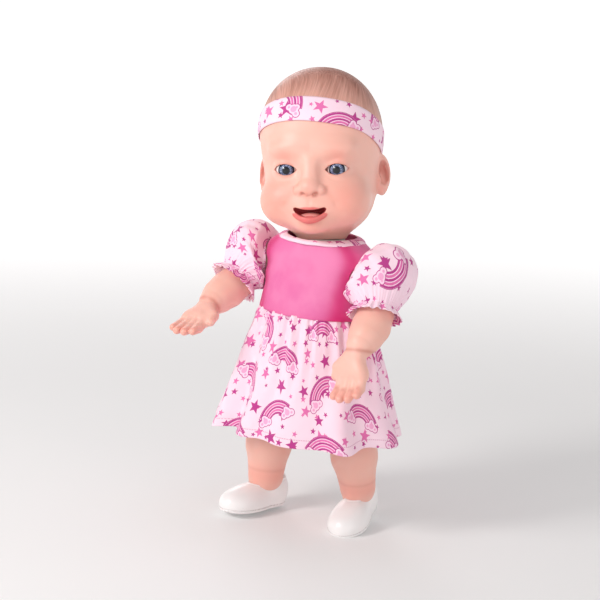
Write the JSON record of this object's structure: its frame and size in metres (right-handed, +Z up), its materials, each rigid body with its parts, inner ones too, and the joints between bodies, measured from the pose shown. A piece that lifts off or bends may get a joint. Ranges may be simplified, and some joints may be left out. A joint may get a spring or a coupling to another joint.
{
  "type": "interactive baby doll",
  "caption": "Soft vinyl baby doll with turning head, arms and legs on plugs, a voice unit with press button in the torso, puff-sleeved dress, headband and slip-on shoes.",
  "frame": {"origin": "on the floor under the middle of the doll's outline", "axes": "-Y is the way the torso faces, +X is the doll's own left, +Z is up"},
  "size_m": [0.209, 0.1804, 0.4305],
  "materials": {
    "shell_plastic": "satin moulded torso shell",
    "steel": "screws and spring",
    "button_plastic": "press button",
    "white_plastic": "hard plugs, cups and retainer",
    "board": "circuit board",
    "chip_black": "chips, switch and speaker cone",
    "speaker_metal": "speaker frame",
    "cell_jacket": "battery cells, light enough to weigh as real ones",
    "contact_brass": "battery contacts",
    "wire_red": "speaker wires",
    "wire_black": "battery wires",
    "wire_blue": "switch wires",
    "magenta_knit": "knit bodice",
    "print_cloth": "pale pink cloth with stars and rainbow arcs",
    "tape_white": "closing tape",
    "skin_vinyl": "soft vinyl skin with airbrushed hair, cheeks and lips",
    "eye_gloss": "eye with a painted iris",
    "shoe_vinyl": "white vinyl slip-on shoe"
  },
  "bodies": {
    "torso": {"torso_front": "shell_plastic", "torso_back": "shell_plastic", "torso_screws": "steel", "button_spring": "steel", "button_retainer": "white_plastic", "circuit_board": "board", "board_screws": "steel", "chips": "chip_black", "speaker_frame": "speaker_metal", "speaker_cone": "chip_black", "battery_cells": "cell_jacket", "battery_contacts": "contact_brass", "battery_door": "shell_plastic", "battery_door_screw": "steel", "switch_body": "chip_black", "speaker_wires": "wire_red", "battery_wires": "wire_black", "switch_wires": "wire_blue", "dress_bodice": "magenta_knit", "dress_collar": "print_cloth", "dress_skirt": "print_cloth", "dress_placket": "magenta_knit", "placket_tape": "tape_white"},
    "head": {"head_shell": "skin_vinyl", "neck_plug": "white_plastic", "left_eye": "eye_gloss", "right_eye": "eye_gloss", "left_eye_cup": "white_plastic", "right_eye_cup": "white_plastic", "headband": "print_cloth"},
    "left_arm": {"left_arm": "skin_vinyl", "left_arm_plug": "white_plastic", "left_sleeve": "print_cloth", "left_cuff": "print_cloth"},
    "right_arm": {"right_arm": "skin_vinyl", "right_arm_plug": "white_plastic", "right_sleeve": "print_cloth", "right_cuff": "print_cloth"},
    "left_leg": {"left_leg": "skin_vinyl", "left_leg_plug": "white_plastic", "left_shoe": "shoe_vinyl"},
    "right_leg": {"right_leg": "skin_vinyl", "right_leg_plug": "white_plastic", "right_shoe": "shoe_vinyl"},
    "button": {"press_button": "button_plastic"},
    "switch": {"switch_slider": "chip_black"}
  },
  "joints": [
    {"name": "neck_turn", "type": "hinge", "parent": "torso", "child": "head", "pos_m": [0, 0.016, 0.27], "axis": [0, 0, 1], "range_deg": [-78, 47]},
    {"name": "left_shoulder", "type": "hinge", "parent": "torso", "child": "left_arm", "pos_m": [0.045, 0.016, 0.246], "axis": [-1, 0, 0], "range_deg": [-8, 80]},
    {"name": "right_shoulder", "type": "hinge", "parent": "torso", "child": "right_arm", "pos_m": [-0.045, 0.016, 0.246], "axis": [-1, 0, 0], "range_deg": [-20, 65]},
    {"name": "left_hip", "type": "hinge", "parent": "torso", "child": "left_leg", "pos_m": [0.03, 0.016, 0.1595], "axis": [-1, 0, 0], "range_deg": [-11, 36]},
    {"name": "right_hip", "type": "hinge", "parent": "torso", "child": "right_leg", "pos_m": [-0.03, 0.016, 0.1595], "axis": [-1, 0, 0], "range_deg": [-24, 23]},
    {"name": "button_press", "type": "slide", "parent": "torso", "child": "button", "axis": [0, 1, 0], "range_m": [0, 0.0025], "stiffness_N_per_m": 500, "springref_m": -0.001, "deforming": ["button_spring"]},
    {"name": "power_slide", "type": "slide", "parent": "torso", "child": "switch", "axis": [1, 0, 0], "range_m": [0, 0.004]}
  ]
}
